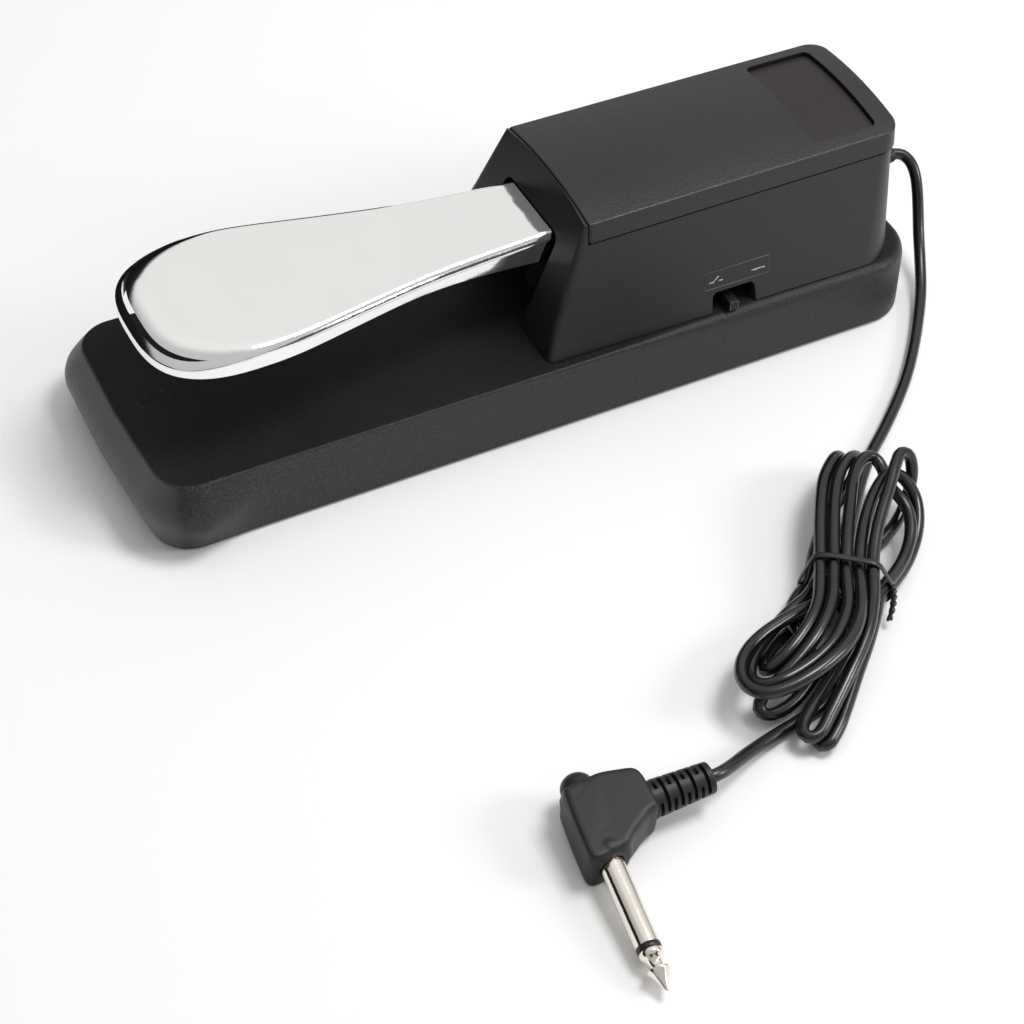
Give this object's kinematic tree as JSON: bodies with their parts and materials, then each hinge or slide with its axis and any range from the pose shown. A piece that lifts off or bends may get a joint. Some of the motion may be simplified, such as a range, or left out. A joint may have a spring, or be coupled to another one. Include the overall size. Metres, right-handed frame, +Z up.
{
  "type": "sustain pedal",
  "caption": "Chrome foot lever sprung in a plastic housing on a flat plinth, closing a switch; polarity slider on the side and a coiled cable ending in a right-angle jack plug.",
  "frame": {"origin": "on the floor, at the middle of the plinth's footprint, which is the underside of the rubber mat", "axes": "+Z up; -Y towards the player, where the lever's toe is; +Y where the cable leaves; +X the wall with the polarity slider"},
  "size_m": [0.2466, 0.2579, 0.0625],
  "materials": {
    "black_abs": "fine-grained satin black moulding",
    "grey_abs": "fine-grained satin dark grey moulding",
    "lid_abs": "fine-grained satin dark grey moulding",
    "label_grey": "smooth satin plate, no printing",
    "chrome": "mirror plating",
    "zinc_steel": "zinc-plated",
    "spring_steel": "drawn wire",
    "nickel": "nickel plating",
    "brass_pin": "tinned brass",
    "black_rubber": "matte",
    "white_nylon": "natural nylon",
    "switch_black": "smooth black moulding",
    "board_green": "solder-masked laminate",
    "cable_pvc": "semi-gloss PVC jacket",
    "boot_pvc": "moulded flexible PVC",
    "wire_red_pvc": "insulated wire red",
    "wire_white_pvc": "insulated wire white",
    "tie_pvc": "plastic-coated wire"
  },
  "bodies": {
    "pedal_body": {"axle_clip_left": "zinc_steel", "axle_clip_right": "zinc_steel", "base_shell": "black_abs", "board_screw_1": "zinc_steel", "board_screw_2": "zinc_steel", "bottom_plate": "zinc_steel", "bracket_screw_1": "zinc_steel", "bracket_screw_2": "zinc_steel", "bracket_screw_3": "zinc_steel", "bracket_screw_4": "zinc_steel", "cable": "cable_pvc", "cable_clamp": "white_nylon", "clamp_screw_1": "zinc_steel", "clamp_screw_2": "zinc_steel", "down_stop_bumper": "black_rubber", "housing_screw_1": "zinc_steel", "housing_screw_2": "zinc_steel", "housing_screw_3": "zinc_steel", "housing_screw_4": "zinc_steel", "housing_shell": "grey_abs", "label_plate": "label_grey", "lid": "lid_abs", "microswitch_body": "switch_black", "microswitch_terminal_1": "brass_pin", "microswitch_terminal_2": "brass_pin", "microswitch_terminal_3": "brass_pin", "pivot_axle": "zinc_steel", "pivot_bracket": "zinc_steel", "plate_screw_1": "zinc_steel", "plate_screw_2": "zinc_steel", "plate_screw_3": "zinc_steel", "plate_screw_4": "zinc_steel", "plug_boot": "boot_pvc", "plug_insulator": "switch_black", "plug_sleeve": "nickel", "plug_tip": "nickel", "polarity_switch_body": "zinc_steel", "polarity_terminal_1": "brass_pin", "polarity_terminal_2": "brass_pin", "polarity_terminal_3": "brass_pin", "rest_bumper": "black_rubber", "return_spring": "spring_steel", "rubber_mat": "black_rubber", "spring_seat": "white_nylon", "strain_relief": "boot_pvc", "switch_board": "board_green", "twist_tie": "tie_pvc", "wire_red": "wire_red_pvc", "wire_white": "wire_white_pvc"},
    "lever": {"pedal_lever": "chrome", "pivot_bush_left": "white_nylon", "pivot_bush_right": "white_nylon"},
    "plunger": {"microswitch_plunger": "wire_red_pvc"},
    "polarity_slider": {"polarity_knob": "switch_black"}
  },
  "joints": [
    {"name": "pedal_hinge", "type": "hinge", "parent": "pedal_body", "child": "lever", "pos_m": [0, 0.072, 0.0455], "axis": [1, 0, 0], "range_deg": [0, 6], "stiffness_Nm_per_rad": 12, "springref_deg": -2.86, "deforming": ["return_spring"]},
    {"name": "plunger_slide", "type": "slide", "parent": "pedal_body", "child": "plunger", "axis": [0, 0, 1], "range_m": [-0.0025, 0]},
    {"name": "polarity_slide", "type": "slide", "parent": "pedal_body", "child": "polarity_slider", "axis": [0, 1, 0], "range_m": [0, 0.003]}
  ],
  "couplings": [
    {"joint": "plunger_slide", "follows": "pedal_hinge", "m_per_rad": -0.022}
  ]
}
